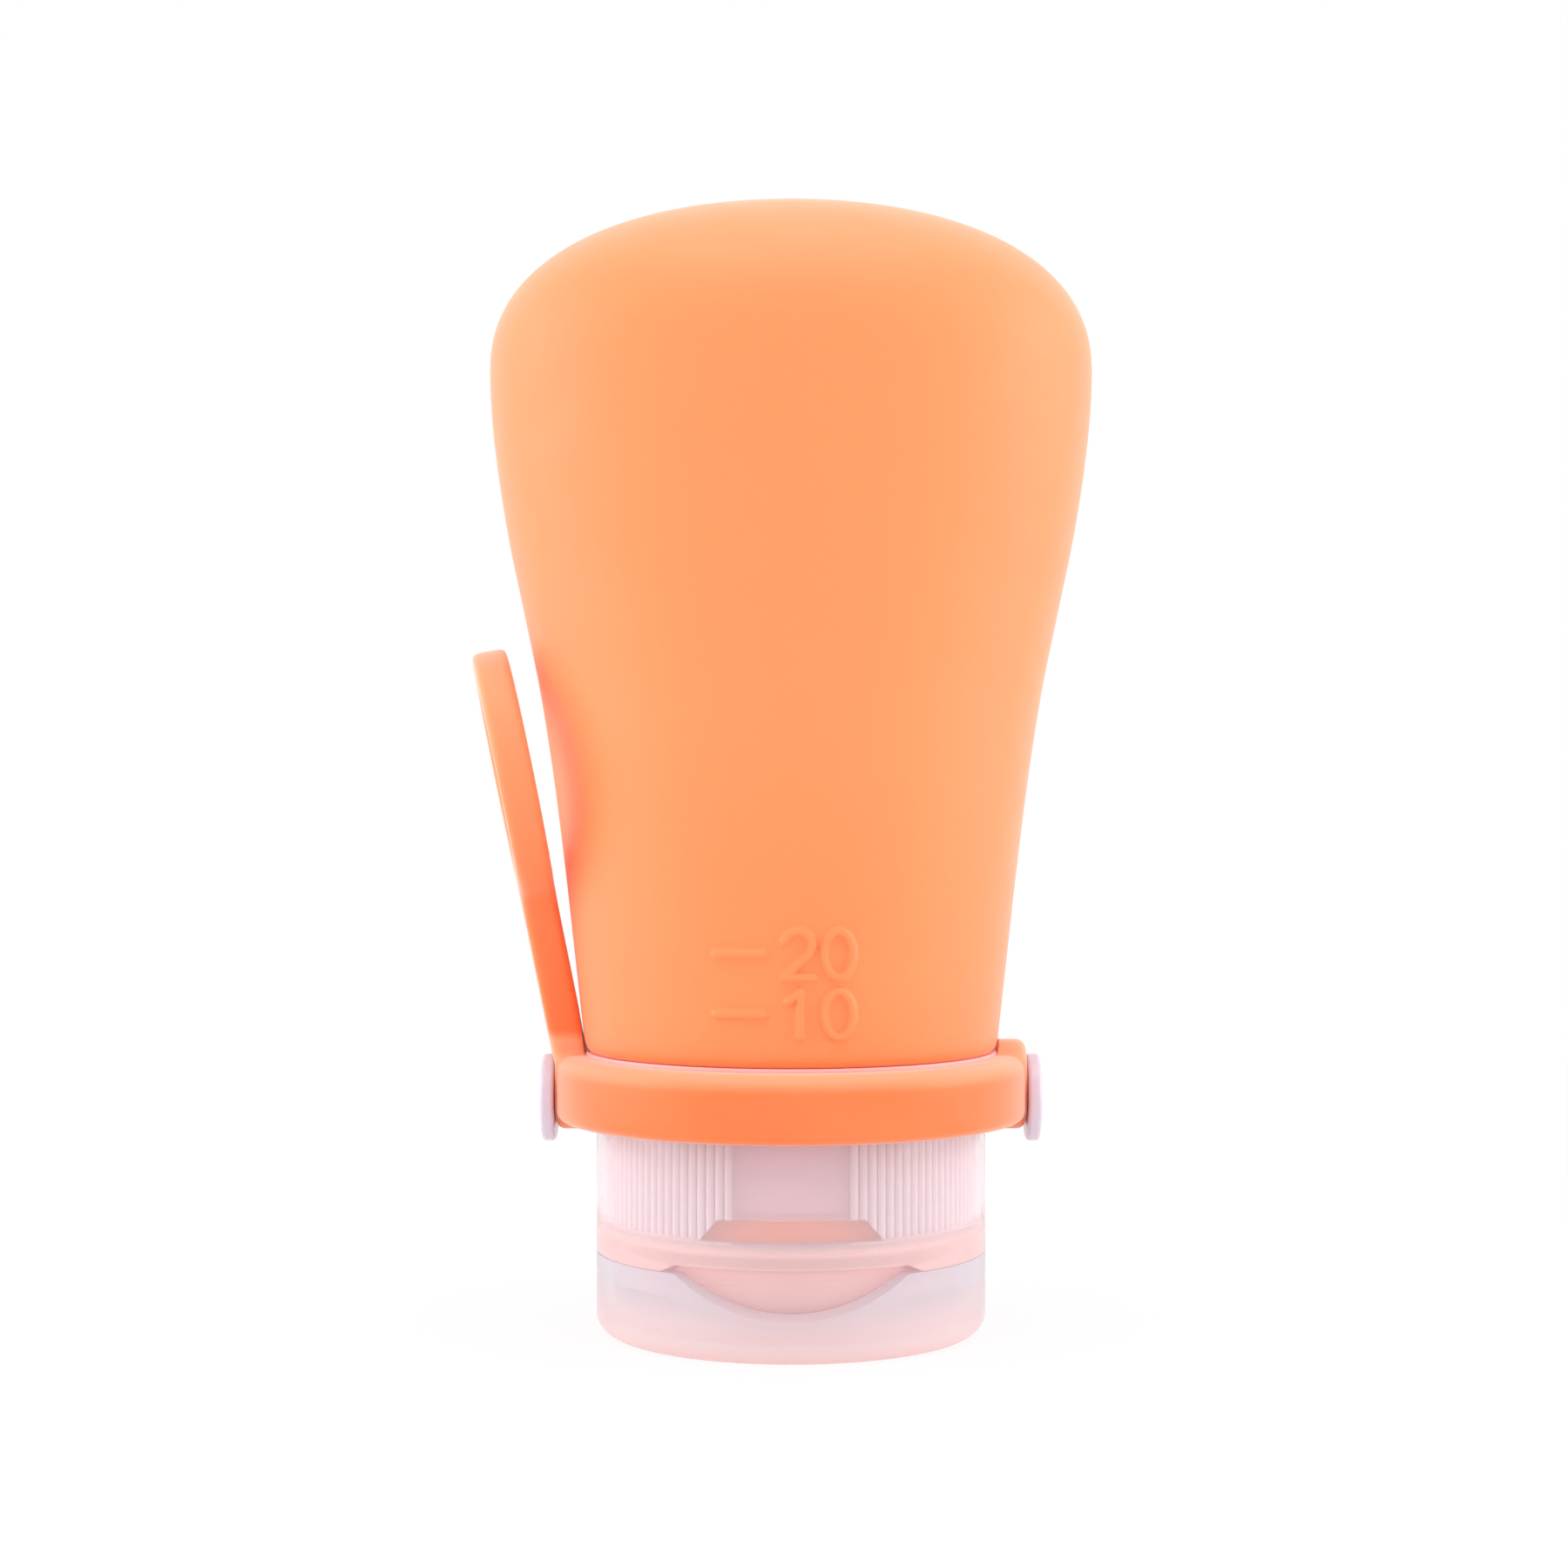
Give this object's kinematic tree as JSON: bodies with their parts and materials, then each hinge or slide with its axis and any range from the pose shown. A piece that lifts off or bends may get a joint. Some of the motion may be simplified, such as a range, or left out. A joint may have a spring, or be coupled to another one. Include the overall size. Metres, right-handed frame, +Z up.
{
  "type": "travel squeeze bottle",
  "caption": "Soft squeeze bottle standing on its clear flip-top screw cap, with a band and hanging loop.",
  "frame": {"origin": "centre of the flat face of the lid that the bottle stands on", "axes": "+Z up from the cap towards the bottle's closed end; front with the thumb notch towards -Y; hanging strap on the -X side; lid hinge at +Y"},
  "size_m": [0.0509, 0.0384, 0.0919],
  "materials": {
    "silicone_body": "soft satin silicone, slightly translucent, peach orange",
    "silicone_strap": "soft satin silicone, peach orange",
    "silicone_seal": "soft matte silicone, orange pink",
    "clear_cap": "smooth clear plastic with a pale pink tint",
    "ribbed_liner": "translucent pale pink plastic",
    "rigid_neck": "translucent pale pink plastic",
    "rigid_collar": "semi-matte pale pink plastic",
    "clear_stud": "smooth pinkish white plastic"
  },
  "bodies": {
    "bottle": {"squeeze_body": "silicone_body", "threaded_neck": "rigid_neck", "neck_collar": "rigid_collar", "left_strap_stud": "clear_stud", "right_strap_stud": "clear_stud", "strap_band": "silicone_strap"},
    "strap": {"strap_loop": "silicone_strap"},
    "seal": {"neck_seal": "silicone_seal"},
    "cap": {"cap_shell": "clear_cap", "cap_liner": "ribbed_liner", "dispensing_valve": "silicone_seal", "valve_retainer": "ribbed_liner", "film_hinge": "clear_cap"},
    "lid": {"flip_lid": "clear_cap"}
  },
  "joints": [
    {"name": "strap_bend", "type": "hinge", "parent": "bottle", "child": "strap", "pos_m": [-0.0187, 0, 0.02545], "axis": [0.1132, -0.9936, 0], "range_deg": [-3, 80], "stiffness_Nm_per_rad": 0.01},
    {"name": "cap_travel", "type": "slide", "parent": "bottle", "child": "seal", "axis": [0, 0, -1], "range_m": [0, 0.0045]},
    {"name": "cap_turn", "type": "hinge", "parent": "seal", "child": "cap", "pos_m": [0, 0, 0.012], "axis": [0, 0, -1], "range_deg": [0, 540]},
    {"name": "lid_hinge", "type": "hinge", "parent": "cap", "child": "lid", "pos_m": [0, 0.0163, 0.0068], "axis": [1, 0, 0], "range_deg": [0, 150]}
  ],
  "couplings": [
    {"joint": "cap_travel", "follows": "cap_turn", "m_per_rad": 0.00047746}
  ]
}
